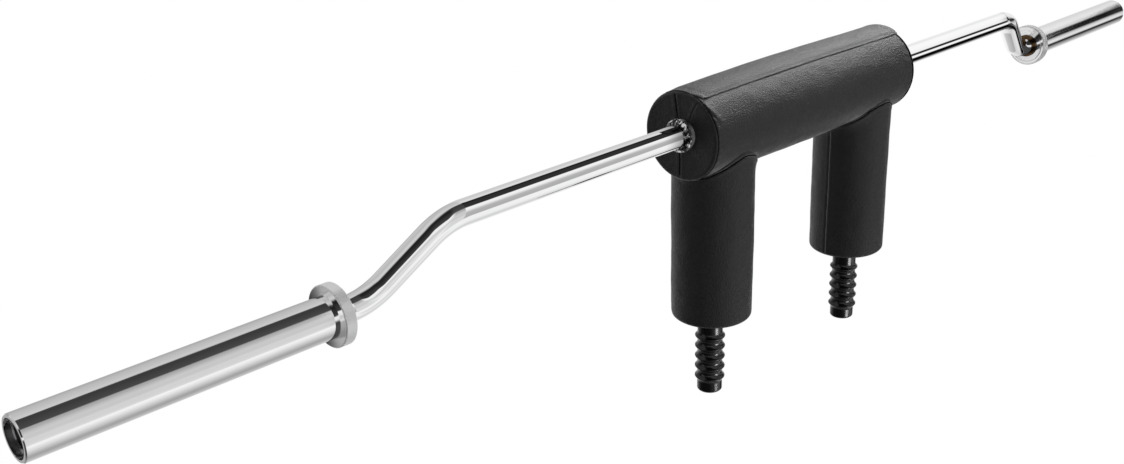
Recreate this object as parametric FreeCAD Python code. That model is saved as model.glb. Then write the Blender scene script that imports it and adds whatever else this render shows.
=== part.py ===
import FreeCAD, Part
import os
from math import sin, cos, radians, sqrt

# Safety squat bar, in millimetres. The origin lies on the shaft's axis at mid-length, +X runs
# along the bar, +Z is up, and the handles hang down along -Z. "right" is the +X side.

CUT_OVERRUN = 2.0            # how far every cutting tool runs past the faces it cuts
RUNNING_CLEARANCE = 0.08     # radial, between a spindle and its bronze bushings
END_PLAY = 0.3               # axial, at each end of a turning sleeve

# Shaft: one round bar, bent twice at each end so that the sleeves hang below and behind it
SHAFT_D = 32.0
STRAIGHT_HALF = 618.0        # mid-length to the start of the first bend
BEND_RADIUS = 75.0
BEND_ANGLE = 40.0
SLEEVE_OFFSET = 81.5         # shaft axis to sleeve axis
OFFSET_TILT = 18.5           # how far the offset leans from straight down towards +Y
END_STRAIGHT = 9.0           # from the last bend to the shoulder
SPINDLE_D = 25.0
SPINDLE_CHAMFER = 1.5
RING_GROOVE_DEPTH = 1.0

# Sleeve: takes 50 mm plates
SLEEVE_D = 50.0
SLEEVE_LENGTH = 363.0
SLEEVE_RIM = 4.0             # wall left round the end cap
SLEEVE_CHAMFER = 1.2
COLLAR_HEIGHT = 11.4         # beyond the sleeve's surface
COLLAR_WIDTH = 15.0
COLLAR_CHAMFER = 1.2
COLLAR_SEAT = 0.6            # how far the collar's seat stands above the sleeve's surface
CAP_RECESS = 8.0             # sleeve's end to the cap's retaining ring
CAP_THICKNESS = 3.0
CAP_DISH = 0.8
CAP_EDGE = 2.5
CAP_SEAT = 1.5               # width of the shoulder that the cap lies on

# Bushings, washer and rings
BUSHING_LENGTH = 30.0
BUSHING_WALL = 4.5
BUSHING_FLANGE_WIDTH = 3.0
BUSHING_FLANGE_T = 3.0
WASHER_ROUND_GAP = 1.5
WASHER_T = 2.0
RING_T = 1.5
RING_WIDTH = 4.0
RING_MOUTH_ANGLE = 50.0
SPINDLE_STUB = 3.0           # spindle beyond its snap ring
STUB_GAP = 2.5               # stub to cap

# Yoke: the tube that carries the handles, and its welds
YOKE_D = 42.0
YOKE_PAST_PAD = 2.0
YOKE_BEAD_PROUD = 1.5
YOKE_BEAD_LENGTH = 7.0
HANDLE_D = 28.0
HANDLE_WALL = 3.0
HANDLE_SPREAD = 340.0        # between the handles' axes
HANDLE_WELD = 4.5

# Grips
GRIP_END_Z = -409.0
GRIP_WALL = 4.5
RIB_HEIGHT = 2.9
GRIP_END_T = 5.0
GRIP_EDGE = 3.5
RIB_COUNT = 5
RIB_PITCH = 16.4
LAST_RIB_ABOVE_END = 22.8
RIB_CREST = 2.4              # width of a rib's crest
RIB_FOOT = 7.0               # height of the slope outside the first and last rib

# Roll pad
PAD_PAST_HANDLE = 67.5       # a handle's axis to the roll's end
PAD_MID_R = 65.3
PAD_END_R = 61.4
PAD_Y = -0.5
PAD_Z = -2.2
PAD_EDGE = 6.0
PAD_BAND = 2.5               # end panel's wrap along the side, up to its seam
PAD_DISH = 2.5
PAD_SEAM = 0.8
VINYL = 1.6
PLY_GAP = 0.2                # between foam, vinyl and tape where their curved faces meet
END_HOLE_GAP = 2.0           # round the yoke
END_SEAM_Y = 5.0
END_SEAM_TILT = 5.0
HANDLE_HOLE_GAP = 1.5        # round the handle's weld
PAD_SLIT = 1.0
SLIT_ANGLE = 93.0               # degrees about the pad's axis, 0 facing -Y and 90 facing up

# Closure flap of the roll, held by hook and loop tape
FLAP_LEFT_INSET = 9.5        # the roll's left end to the flap's
FLAP_RIGHT_OVERHANG = 0.5
FLAP_T = 1.2
TAPE_T = 0.5
FLAP_FROM_ANGLE = 64.0
FLAP_TO_ANGLE = 120.0
FLAP_LIP_ANGLE = 3.0               # degrees of the flap's front edge that press on the cover
TAPE_FROM_ANGLE = 68.0
TAPE_TO_ANGLE = 91.0
TAPE_END_GAP = 14.0          # flap's end to the tapes' end

# Arm pads
ARM_TOP_R = 58.3
ARM_MID_R = 58.3
ARM_BOTTOM_R = 58.0
ARM_BOTTOM_Z = -285.5
ARM_EDGE = 6.5
ARM_SEAM = 1.0
ARM_SEAM_DEPTH = 0.9
ARM_HOLE_CLEARANCE = 0.4

RIGHT = 1
LEFT = -1
AXIS_X = FreeCAD.Vector(1, 0, 0)
AXIS_Z = FreeCAD.Vector(0, 0, 1)
ORIGIN = FreeCAD.Vector(0, 0, 0)

# Diameters of pieces that fit one another
BUSHING_BORE_D = SPINDLE_D + 2 * RUNNING_CLEARANCE
SLEEVE_BORE_D = BUSHING_BORE_D + 2 * BUSHING_WALL
BUSHING_FLANGE_D = SLEEVE_BORE_D + 2 * BUSHING_FLANGE_WIDTH
CAP_D = SLEEVE_D - 2 * SLEEVE_RIM
RING_POCKET_D = CAP_D - 2 * CAP_SEAT
WASHER_D = RING_POCKET_D - 2 * WASHER_ROUND_GAP
COLLAR_D = SLEEVE_D + 2 * COLLAR_HEIGHT
COLLAR_SEAT_D = SLEEVE_D + 2 * COLLAR_SEAT
YOKE_BEAD_D = YOKE_D + 2 * YOKE_BEAD_PROUD
END_HOLE_D = YOKE_D + 2 * END_HOLE_GAP
HANDLE_WELD_D = HANDLE_D + 2 * HANDLE_WELD
HANDLE_HOLE_D = HANDLE_WELD_D + 2 * HANDLE_HOLE_GAP
GRIP_BODY_D = HANDLE_D + 2 * GRIP_WALL
GRIP_RIB_D = GRIP_BODY_D + 2 * RIB_HEIGHT

# Places that follow from the sizes above
SLANT = (SLEEVE_OFFSET - 2 * BEND_RADIUS * (1 - cos(radians(BEND_ANGLE)))) / sin(radians(BEND_ANGLE))
BEND_END_X = STRAIGHT_HALF + 2 * BEND_RADIUS * sin(radians(BEND_ANGLE)) + SLANT * cos(radians(BEND_ANGLE))
SHOULDER_X = BEND_END_X + END_STRAIGHT
SLEEVE_X = SHOULDER_X + END_PLAY + BUSHING_FLANGE_T
SLEEVE_END_X = SLEEVE_X + SLEEVE_LENGTH
SLEEVE_Y = SLEEVE_OFFSET * sin(radians(OFFSET_TILT))
SLEEVE_Z = -SLEEVE_OFFSET * cos(radians(OFFSET_TILT))
CAP_RING_X = SLEEVE_END_X - CAP_RECESS - RING_T
CAP_X = CAP_RING_X - CAP_THICKNESS
SPINDLE_END_X = CAP_X - STUB_GAP
SPINDLE_RING_X = SPINDLE_END_X - SPINDLE_STUB - RING_T
WASHER_X = SPINDLE_RING_X - WASHER_T
OUTER_BUSHING_END_X = WASHER_X - END_PLAY
HANDLE_X = HANDLE_SPREAD / 2
PAD_HALF = HANDLE_X + PAD_PAST_HANDLE
YOKE_HALF = PAD_HALF + YOKE_PAST_PAD
HANDLE_END_Z = GRIP_END_Z + GRIP_END_T
GRIP_TOP_Z = ARM_BOTTOM_Z + VINYL
COVER_HALF = PAD_HALF - PAD_EDGE - PAD_BAND
FLAP_LEFT = PAD_HALF - FLAP_LEFT_INSET
FLAP_RIGHT = PAD_HALF + FLAP_RIGHT_OVERHANG
HOOK_LOW = PLY_GAP
LOOP_LOW = HOOK_LOW + TAPE_T + PLY_GAP
FLAP_LOW = LOOP_LOW + TAPE_T + PLY_GAP
FLAP_HIGH = FLAP_LOW + FLAP_T


def cyl_x(diameter, x0, x1, y=0, z=0):
    """Round bar along X."""
    return Part.makeCylinder(diameter / 2, x1 - x0, FreeCAD.Vector(x0, y, z), AXIS_X)


def ring_x(outer_d, inner_d, x0, x1, y=0, z=0):
    """Ring along X."""
    bore = cyl_x(inner_d, x0 - CUT_OVERRUN, x1 + CUT_OVERRUN, y, z)
    return cyl_x(outer_d, x0, x1, y, z).cut(bore)


def cyl_z(diameter, z0, z1, x):
    """Round bar along Z in the handles' plane."""
    return Part.makeCylinder(diameter / 2, z1 - z0, FreeCAD.Vector(x, 0, z0), AXIS_Z)


def outline(*steps):
    """Closed face from points and (middle, end) pairs, a pair being an arc, in the XZ plane."""
    points = [step[1] if isinstance(step[0], tuple) else step for step in steps]
    places = [FreeCAD.Vector(point[0], 0, point[1]) for point in points]
    edges = []
    for i, step in enumerate(steps):
        start = places[i - 1]
        if isinstance(step[0], tuple):
            middle = FreeCAD.Vector(step[0][0], 0, step[0][1])
            edges.append(Part.Arc(start, middle, places[i]).toShape())
        elif start.distanceToPoint(places[i]) > 0:
            edges.append(Part.LineSegment(start, places[i]).toShape())
    return Part.Face(Part.Wire(edges))


def about_sleeve(face):
    """Turns an (x, r) outline about the right sleeve's axis."""
    solid = face.revolve(ORIGIN, AXIS_X, 360)
    solid.translate(FreeCAD.Vector(0, SLEEVE_Y, SLEEVE_Z))
    return solid


def about_pad(face, start=0, sweep=360):
    """Turns an (x, r) outline about the roll's axis; start and sweep as SLIT_ANGLE is measured."""
    placed = face.copy()
    placed.rotate(ORIGIN, AXIS_X, 90 - start)
    solid = placed.revolve(ORIGIN, AXIS_X, -sweep)
    solid.translate(FreeCAD.Vector(0, PAD_Y, PAD_Z))
    return solid


def about_handle(face):
    """Turns an (r, z) outline about the right handle's axis."""
    solid = face.revolve(ORIGIN, AXIS_Z, 360)
    solid.translate(FreeCAD.Vector(HANDLE_X, 0, 0))
    return solid


def save(name, shape):
    if shape.isNull() or not shape.isValid() or not shape.Solids:
        raise ValueError(name + " is not a valid solid")
    shape.exportStep("parts/" + name + ".step")


def save_pair(name, shape):
    """Writes a piece of the right side and its mirror image."""
    save("right_" + name, shape)
    save("left_" + name, shape.mirror(ORIGIN, AXIS_X))


def bar_point(x, offset):
    """Point of the shaft's centre line, offset from the main axis towards the sleeves' axis."""
    lean = radians(OFFSET_TILT)
    return FreeCAD.Vector(x, offset * sin(lean), -offset * cos(lean))


def bend_edges(side):
    """Centre line of one end: bend, slant, bend back and short straight, outwards."""
    turn = radians(BEND_ANGLE)
    slant_end_x = BEND_END_X - BEND_RADIUS * sin(turn)
    rise = BEND_RADIUS * (1 - cos(turn))
    rise_half = BEND_RADIUS * (1 - cos(turn / 2))
    reach_half = BEND_RADIUS * sin(turn / 2)
    start = bar_point(side * STRAIGHT_HALF, 0)
    first_mid = bar_point(side * (STRAIGHT_HALF + reach_half), rise_half)
    first_end = bar_point(side * (STRAIGHT_HALF + BEND_RADIUS * sin(turn)), rise)
    second_start = bar_point(side * slant_end_x, SLEEVE_OFFSET - rise)
    second_mid = bar_point(side * (BEND_END_X - reach_half), SLEEVE_OFFSET - rise_half)
    second_end = bar_point(side * BEND_END_X, SLEEVE_OFFSET)
    shoulder = bar_point(side * SHOULDER_X, SLEEVE_OFFSET)
    return [
        Part.Arc(start, first_mid, first_end).toShape(),
        Part.LineSegment(first_end, second_start).toShape(),
        Part.Arc(second_start, second_mid, second_end).toShape(),
        Part.LineSegment(second_end, shoulder).toShape(),
    ]


def make_spindle():
    """Turned-down right end of the bar, with the groove for its snap ring."""
    radius = SPINDLE_D / 2
    face = outline(
        (SHOULDER_X - END_STRAIGHT / 2, 0),
        (SHOULDER_X - END_STRAIGHT / 2, radius),
        (SPINDLE_RING_X, radius),
        (SPINDLE_RING_X, radius - RING_GROOVE_DEPTH),
        (SPINDLE_RING_X + RING_T, radius - RING_GROOVE_DEPTH),
        (SPINDLE_RING_X + RING_T, radius),
        (SPINDLE_END_X - SPINDLE_CHAMFER, radius),
        (SPINDLE_END_X, radius - SPINDLE_CHAMFER),
        (SPINDLE_END_X, 0),
    )
    return about_sleeve(face)


def make_shaft():
    """The bar: straight middle, two bends a side, shoulders and spindles, all one piece."""
    straight = Part.LineSegment(bar_point(-STRAIGHT_HALF, 0), bar_point(STRAIGHT_HALF, 0)).toShape()
    left_end = list(reversed(bend_edges(LEFT)))
    path = Part.Wire(left_end + [straight] + bend_edges(RIGHT))
    section = Part.Wire(Part.makeCircle(SHAFT_D / 2, bar_point(-SHOULDER_X, SLEEVE_OFFSET), AXIS_X))
    bar = path.makePipeShell([section], True, False)
    spindle = make_spindle()
    return bar.fuse([spindle, spindle.mirror(ORIGIN, AXIS_X)]).removeSplitter()


def make_sleeve():
    """Turned tube with seats for its collar and end cap, a bushing bore and a snap ring pocket."""
    outer = SLEEVE_D / 2
    face = outline(
        (SLEEVE_X, SLEEVE_BORE_D / 2),
        (SLEEVE_X, COLLAR_SEAT_D / 2),
        (SLEEVE_X + COLLAR_WIDTH, COLLAR_SEAT_D / 2),
        (SLEEVE_X + COLLAR_WIDTH, outer),
        (SLEEVE_END_X - SLEEVE_CHAMFER, outer),
        (SLEEVE_END_X, outer - SLEEVE_CHAMFER),
        (SLEEVE_END_X, CAP_D / 2),
        (CAP_RING_X + RING_T, CAP_D / 2),
        (CAP_RING_X + RING_T, CAP_D / 2 + RING_GROOVE_DEPTH),
        (CAP_RING_X, CAP_D / 2 + RING_GROOVE_DEPTH),
        (CAP_RING_X, CAP_D / 2),
        (CAP_X, CAP_D / 2),
        (CAP_X, RING_POCKET_D / 2),
        (OUTER_BUSHING_END_X, RING_POCKET_D / 2),
        (OUTER_BUSHING_END_X, SLEEVE_BORE_D / 2),
    )
    return about_sleeve(face)


def make_collar():
    """Flange ring pressed on its seat and welded at the sleeve's inner end, which stops the plates."""
    inner = COLLAR_SEAT_D / 2
    outer = COLLAR_D / 2
    face = outline(
        (SLEEVE_X, inner),
        (SLEEVE_X, outer - COLLAR_CHAMFER),
        (SLEEVE_X + COLLAR_CHAMFER, outer),
        (SLEEVE_X + COLLAR_WIDTH - COLLAR_CHAMFER, outer),
        (SLEEVE_X + COLLAR_WIDTH, outer - COLLAR_CHAMFER),
        (SLEEVE_X + COLLAR_WIDTH, inner),
    )
    return about_sleeve(face)


def make_inner_bushing():
    """Flanged bronze bushing at the shoulder."""
    bore = BUSHING_BORE_D / 2
    face = outline(
        (SLEEVE_X - BUSHING_FLANGE_T, bore),
        (SLEEVE_X - BUSHING_FLANGE_T, BUSHING_FLANGE_D / 2),
        (SLEEVE_X, BUSHING_FLANGE_D / 2),
        (SLEEVE_X, SLEEVE_BORE_D / 2),
        (SLEEVE_X + BUSHING_LENGTH, SLEEVE_BORE_D / 2),
        (SLEEVE_X + BUSHING_LENGTH, bore),
    )
    return about_sleeve(face)


def make_outer_bushing():
    """Plain bronze bushing near the sleeve's outer end."""
    start_x = OUTER_BUSHING_END_X - BUSHING_LENGTH
    return ring_x(SLEEVE_BORE_D, BUSHING_BORE_D, start_x, OUTER_BUSHING_END_X, SLEEVE_Y, SLEEVE_Z)


def make_washer():
    """Thrust washer between the outer bushing and the snap ring."""
    return ring_x(WASHER_D, BUSHING_BORE_D, WASHER_X, SPINDLE_RING_X, SLEEVE_Y, SLEEVE_Z)


def open_ring(inner_d, outer_d, x):
    """Spring-steel snap ring with its mouth facing up."""
    ring = ring_x(outer_d, inner_d, x, x + RING_T, SLEEVE_Y, SLEEVE_Z)
    start = FreeCAD.Vector(x - CUT_OVERRUN, SLEEVE_Y, SLEEVE_Z)
    mouth = Part.makeCylinder(outer_d, RING_T + 2 * CUT_OVERRUN, start, AXIS_X, RING_MOUTH_ANGLE)
    return ring.cut(mouth)


def make_spindle_ring():
    inner_d = SPINDLE_D - 2 * RING_GROOVE_DEPTH
    return open_ring(inner_d, inner_d + 2 * RING_WIDTH, SPINDLE_RING_X)


def make_cap_ring():
    outer_d = CAP_D + 2 * RING_GROOVE_DEPTH
    return open_ring(outer_d - 2 * RING_WIDTH, outer_d, CAP_RING_X)


def make_end_cap():
    """Disc that closes the sleeve, dished in its outer face."""
    front = CAP_X + CAP_THICKNESS
    radius = CAP_D / 2
    flat_r = radius - RING_WIDTH
    face = outline(
        (CAP_X, 0),
        (CAP_X, radius),
        (front, radius),
        (front, flat_r),
        (front - CAP_DISH, flat_r - CAP_EDGE),
        (front - CAP_DISH, 0),
    )
    return about_sleeve(face)


def make_yoke_tube():
    """Thick tube over the middle of the shaft, which carries both handles."""
    return ring_x(YOKE_D, SHAFT_D, -YOKE_HALF, YOKE_HALF)


def make_yoke_weld():
    """Round fillet bead between the yoke's end face and the shaft."""
    shaft_r = SHAFT_D / 2
    bead_r = YOKE_BEAD_D / 2
    middle = (YOKE_HALF + YOKE_BEAD_LENGTH * cos(radians(45)),
              shaft_r + (bead_r - shaft_r) * sin(radians(45)))
    face = outline(
        (YOKE_HALF + YOKE_BEAD_LENGTH, shaft_r),
        (YOKE_HALF, shaft_r),
        (YOKE_HALF, bead_r),
        (middle, (YOKE_HALF + YOKE_BEAD_LENGTH, shaft_r)),
    )
    return face.revolve(ORIGIN, AXIS_X, 360)


def make_handle_tube():
    """Steel tube, coped to the yoke at its top, that runs down inside the arm pad and the grip."""
    tube = cyl_z(HANDLE_D, HANDLE_END_Z, 0, HANDLE_X)
    bore = cyl_z(HANDLE_D - 2 * HANDLE_WALL, HANDLE_END_Z - CUT_OVERRUN, CUT_OVERRUN, HANDLE_X)
    yoke = cyl_x(YOKE_D, HANDLE_X - HANDLE_D, HANDLE_X + HANDLE_D)
    return keep_lowest(tube.cut(bore).cut(yoke))


def keep_lowest(shape):
    """Of a shape cut across, the solid that reaches lowest."""
    return min(shape.Solids, key=lambda solid: solid.BoundBox.ZMin)


def make_handle_weld():
    """Saddle-shaped bead where the handle meets the yoke."""
    bead = cyl_z(HANDLE_WELD_D, -YOKE_D, 0, HANDLE_X)
    around = ring_x(YOKE_D + 2 * HANDLE_WELD, YOKE_D, HANDLE_X - HANDLE_WELD_D, HANDLE_X + HANDLE_WELD_D)
    handle = cyl_z(HANDLE_D, -YOKE_D - CUT_OVERRUN, CUT_OVERRUN, HANDLE_X)
    return keep_lowest(bead.common(around).cut(handle))


def make_grip():
    """Moulded rubber grip with rounded ribs and a closed end, pushed over the handle."""
    bore = HANDLE_D / 2
    body = GRIP_BODY_D / 2
    crest = GRIP_RIB_D / 2
    half_crest = RIB_CREST / 2
    last_rib = GRIP_END_Z + LAST_RIB_ABOVE_END
    first_rib = last_rib + (RIB_COUNT - 1) * RIB_PITCH
    slope = RIB_FOOT - half_crest
    bow = (crest - body) / 4
    steps = [
        (0, GRIP_END_Z),
        (body - GRIP_EDGE, GRIP_END_Z),
        corner_up(body - GRIP_EDGE, GRIP_END_Z + GRIP_EDGE, GRIP_EDGE),
        (body, last_rib - RIB_FOOT),
        ((body + bow, last_rib - half_crest - slope / 2), (crest, last_rib - half_crest)),
    ]
    for i in range(RIB_COUNT):
        z = last_rib + i * RIB_PITCH
        steps.append(((crest + half_crest / 2, z), (crest, z + half_crest)))
        if i < RIB_COUNT - 1:
            valley = ((body, z + RIB_PITCH / 2), (crest, z + RIB_PITCH - half_crest))
            steps.append(valley)
    steps.append(((body + bow, first_rib + half_crest + slope / 2), (body, first_rib + RIB_FOOT)))
    steps += [(body, GRIP_TOP_Z), (bore, GRIP_TOP_Z), (bore, HANDLE_END_Z), (0, HANDLE_END_Z)]
    return about_handle(outline(*steps))


def corner_up(r, z, radius):
    """Arc from the bottom of a rounded rim up to its side: centre (r, z)."""
    middle = (r + radius * cos(radians(45)), z - radius * sin(radians(45)))
    return (middle, (r + radius, z))


def pad_r(x):
    """Radius of the roll's crowned side at x: an arc from end to end."""
    crown = PAD_MID_R - PAD_END_R
    arc_r = (PAD_HALF * PAD_HALF + crown * crown) / (2 * crown)
    return PAD_MID_R - arc_r + sqrt(arc_r * arc_r - x * x)


def crown_arc(x0, x1, height=0):
    """Arc along the roll's side from x0 to x1, at a height above its crowned surface."""
    middle = (x0 + x1) / 2
    return ((middle, pad_r(middle) + height), (x1, pad_r(x1) + height))


def side_strip(x0, x1, low, high):
    """Outline of a strip on the roll's side, between two heights above its crowned surface."""
    return outline(
        (x0, pad_r(x0) + low),
        (x0, pad_r(x0) + high),
        crown_arc(x0, x1, high),
        (x1, pad_r(x1) + low),
        crown_arc(x1, x0, low),
    )


def pad_envelope(inset=0):
    """Whole roll with rounded ends, or its foam's outline one inset smaller."""
    half = PAD_HALF - inset
    edge_x = PAD_HALF - PAD_EDGE
    edge = PAD_EDGE - inset
    edge_r = pad_r(edge_x) - inset
    step = edge * cos(radians(45))
    face = outline(
        (-half, 0),
        (-half, edge_r - edge),
        ((-edge_x - step, edge_r - edge + step), (-edge_x, edge_r)),
        ((0, PAD_MID_R - inset), (edge_x, edge_r)),
        ((edge_x + step, edge_r - edge + step), (half, edge_r - edge)),
        (half, 0),
    )
    return about_pad(face)


def slit_tool():
    """Thin radial plate that opens the cover and the foam along the back of the tapes."""
    reach = PAD_MID_R + CUT_OVERRUN
    plate = Part.makeBox(2 * PAD_HALF + 2 * CUT_OVERRUN, reach, PAD_SLIT)
    plate.translate(FreeCAD.Vector(-PAD_HALF - CUT_OVERRUN, -reach, -PAD_SLIT / 2))
    plate.rotate(ORIGIN, AXIS_X, -SLIT_ANGLE)
    plate.translate(FreeCAD.Vector(0, PAD_Y, PAD_Z))
    return plate


def handle_holes():
    """Two tools that clear the handles and their welds."""
    low = -PAD_MID_R - CUT_OVERRUN + PAD_Z
    return [cyl_z(HANDLE_HOLE_D, low, 0, side * HANDLE_X) for side in (LEFT, RIGHT)]


def make_roll_foam():
    """Moulded foam roll, slit to go over the yoke, with room for the handles and their welds."""
    foam = pad_envelope(VINYL + PLY_GAP)
    end_face_x = PAD_HALF - PAD_DISH - VINYL - PLY_GAP
    ends = cyl_x(2 * PAD_MID_R, -end_face_x, end_face_x, PAD_Y, PAD_Z)
    bore = cyl_x(YOKE_D + 2 * PLY_GAP, -PAD_HALF - CUT_OVERRUN, PAD_HALF + CUT_OVERRUN)
    return foam.common(ends).cut([bore, slit_tool()] + handle_holes())


def make_roll_cover():
    """Sewn vinyl side of the roll, open along the slit under the flap."""
    half = COVER_HALF - PAD_SEAM
    cover = about_pad(side_strip(-half, half, -VINYL, 0))
    return cover.cut([slit_tool()] + handle_holes())


def make_end_panel():
    """Two half discs of vinyl, wrapped over the roll's right end and sewn together."""
    hole_r = END_HOLE_D / 2
    edge_x = PAD_HALF - PAD_EDGE
    edge_r = pad_r(edge_x)
    rim_r = edge_r - PAD_EDGE
    inner_edge = PAD_EDGE - VINYL
    step = cos(radians(45))
    face = outline(
        (PAD_HALF - PAD_DISH, 0),
        (PAD_HALF - PAD_DISH, hole_r),
        (PAD_HALF, rim_r),
        ((edge_x + PAD_EDGE * step, rim_r + PAD_EDGE * step), (edge_x, edge_r)),
        crown_arc(edge_x, COVER_HALF),
        (COVER_HALF, pad_r(COVER_HALF) - VINYL),
        crown_arc(COVER_HALF, edge_x, -VINYL),
        ((edge_x + inner_edge * step, rim_r + inner_edge * step), (PAD_HALF - VINYL, rim_r)),
        (PAD_HALF - PAD_DISH - VINYL, hole_r),
        (PAD_HALF - PAD_DISH - VINYL, 0),
    )
    hole = cyl_x(END_HOLE_D, COVER_HALF, PAD_HALF + CUT_OVERRUN)
    seam = Part.makeBox(PAD_EDGE + PAD_BAND + 2 * CUT_OVERRUN, PAD_SEAM, 4 * PAD_MID_R)
    seam.translate(FreeCAD.Vector(COVER_HALF - CUT_OVERRUN, -PAD_SEAM / 2, -2 * PAD_MID_R))
    seam.rotate(ORIGIN, AXIS_X, -END_SEAM_TILT)
    seam.translate(FreeCAD.Vector(0, END_SEAM_Y, PAD_Z))
    return about_pad(face).cut([seam, hole])


def make_closure_flap():
    """Vinyl flap, sewn down along its back edge, that presses on the tapes at its front edge."""
    over_strip = side_strip(-FLAP_LEFT, FLAP_RIGHT, FLAP_LOW, FLAP_HIGH)
    edge_strip = side_strip(-FLAP_LEFT, FLAP_RIGHT, PLY_GAP, FLAP_LOW)
    over = about_pad(over_strip, FLAP_FROM_ANGLE, FLAP_TO_ANGLE - FLAP_FROM_ANGLE)
    lip = about_pad(edge_strip, FLAP_FROM_ANGLE, FLAP_LIP_ANGLE)
    root_from = SLIT_ANGLE + FLAP_LIP_ANGLE
    root = about_pad(edge_strip, root_from, FLAP_TO_ANGLE - root_from)
    return over.fuse([lip, root]).removeSplitter()


def make_tape(low):
    """Hook or loop tape, low above the cover."""
    strip = side_strip(TAPE_END_GAP - FLAP_LEFT, FLAP_RIGHT - TAPE_END_GAP, low, low + TAPE_T)
    return about_pad(strip, TAPE_FROM_ANGLE, TAPE_TO_ANGLE - TAPE_FROM_ANGLE)


def arm_face(inset=0):
    """(r, z) outline of the right arm pad, or of its foam one inset smaller."""
    bottom = ARM_BOTTOM_Z + inset
    edge = ARM_EDGE - inset
    side = ARM_BOTTOM_R - inset
    edge_z = ARM_BOTTOM_Z + ARM_EDGE
    return outline(
        (0, bottom),
        (side - edge, bottom),
        corner_up(side - edge, edge_z, edge),
        ((ARM_MID_R - inset, edge_z / 2), (ARM_TOP_R - inset, 0)),
        (0, 0),
    )


def make_arm_cover():
    """Vinyl tube round the arm pad, rolled under at the bottom, with its closing seam inside."""
    shell = about_handle(arm_face()).cut(about_handle(arm_face(VINYL)))
    hole_r = ARM_BOTTOM_R - ARM_EDGE
    hole = cyl_z(2 * hole_r, ARM_BOTTOM_Z - CUT_OVERRUN, ARM_BOTTOM_Z + VINYL + CUT_OVERRUN, HANDLE_X)
    seam_x = HANDLE_X - ARM_TOP_R - CUT_OVERRUN
    seam_depth = ARM_SEAM_DEPTH + ARM_TOP_R - ARM_BOTTOM_R + CUT_OVERRUN
    seam = Part.makeBox(seam_depth, ARM_SEAM, -ARM_BOTTOM_Z - ARM_EDGE)
    seam.translate(FreeCAD.Vector(seam_x, -ARM_SEAM / 2, ARM_BOTTOM_Z + ARM_EDGE))
    return keep_lowest(shell.cut([hole, seam, pad_envelope(-PLY_GAP)]))


def make_arm_panel():
    """Vinyl disc in the bottom of the arm pad, with a hole for the grip."""
    disc_d = 2 * (ARM_BOTTOM_R - ARM_EDGE - PLY_GAP)
    hole_d = GRIP_BODY_D + 2 * ARM_HOLE_CLEARANCE
    disc = cyl_z(disc_d, ARM_BOTTOM_Z, ARM_BOTTOM_Z + VINYL, HANDLE_X)
    hole = cyl_z(hole_d, ARM_BOTTOM_Z - CUT_OVERRUN, ARM_BOTTOM_Z + VINYL + CUT_OVERRUN, HANDLE_X)
    return disc.cut(hole)


def make_arm_foam():
    """Moulded foam tube round the handle, coped to the roll."""
    bore = cyl_z(HANDLE_D + 2 * PLY_GAP, ARM_BOTTOM_Z - CUT_OVERRUN, CUT_OVERRUN, HANDLE_X)
    return keep_lowest(about_handle(arm_face(VINYL + PLY_GAP)).cut([bore, pad_envelope(-PLY_GAP)]))


os.makedirs("parts", exist_ok=True)
save("shaft", make_shaft())
save("yoke_tube", make_yoke_tube())
save_pair("yoke_weld", make_yoke_weld())
save_pair("handle_tube", make_handle_tube())
save_pair("handle_weld", make_handle_weld())
save_pair("grip", make_grip())
save("roll_foam", make_roll_foam())
save("roll_cover", make_roll_cover())
save_pair("end_panel", make_end_panel())
save("hook_tape", make_tape(HOOK_LOW))
save("loop_tape", make_tape(LOOP_LOW))
save("closure_flap", make_closure_flap())
save_pair("arm_foam", make_arm_foam())
save_pair("arm_cover", make_arm_cover())
save_pair("arm_panel", make_arm_panel())
save_pair("sleeve", make_sleeve())
save_pair("collar", make_collar())
save_pair("inner_bushing", make_inner_bushing())
save_pair("outer_bushing", make_outer_bushing())
save_pair("thrust_washer", make_washer())
save_pair("spindle_ring", make_spindle_ring())
save_pair("end_cap", make_end_cap())
save_pair("cap_ring", make_cap_ring())
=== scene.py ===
import bpy
from math import atan2, cos, exp, hypot, pi, radians, sin, sqrt
from mathutils import Matrix, Vector, noise


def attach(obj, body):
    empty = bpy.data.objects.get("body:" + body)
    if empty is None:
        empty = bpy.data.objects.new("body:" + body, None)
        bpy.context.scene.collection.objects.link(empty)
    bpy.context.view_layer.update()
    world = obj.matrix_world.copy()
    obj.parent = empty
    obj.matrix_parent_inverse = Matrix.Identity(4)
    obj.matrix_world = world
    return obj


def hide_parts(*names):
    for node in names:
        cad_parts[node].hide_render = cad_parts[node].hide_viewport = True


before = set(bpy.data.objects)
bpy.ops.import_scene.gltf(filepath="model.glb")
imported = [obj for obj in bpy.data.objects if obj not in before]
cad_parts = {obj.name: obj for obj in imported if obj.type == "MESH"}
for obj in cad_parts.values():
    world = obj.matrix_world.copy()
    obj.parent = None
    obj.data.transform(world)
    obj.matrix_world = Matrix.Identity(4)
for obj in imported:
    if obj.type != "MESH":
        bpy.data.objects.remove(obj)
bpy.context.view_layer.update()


# Camera: in front of the bar's left end and above it, where the photograph was taken from.
# The three directions are the picture's right, its bottom and the line of sight.
CAMERA_PLACE = Vector((-1.50379, -1.08920, 0.53104))
CAMERA_RIGHT = Vector((0.708100, -0.705568, -0.027725))
CAMERA_DOWN = Vector((-0.284935, -0.249591, -0.925482))
CAMERA_AHEAD = Vector((0.646070, 0.663233, -0.377777))

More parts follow.
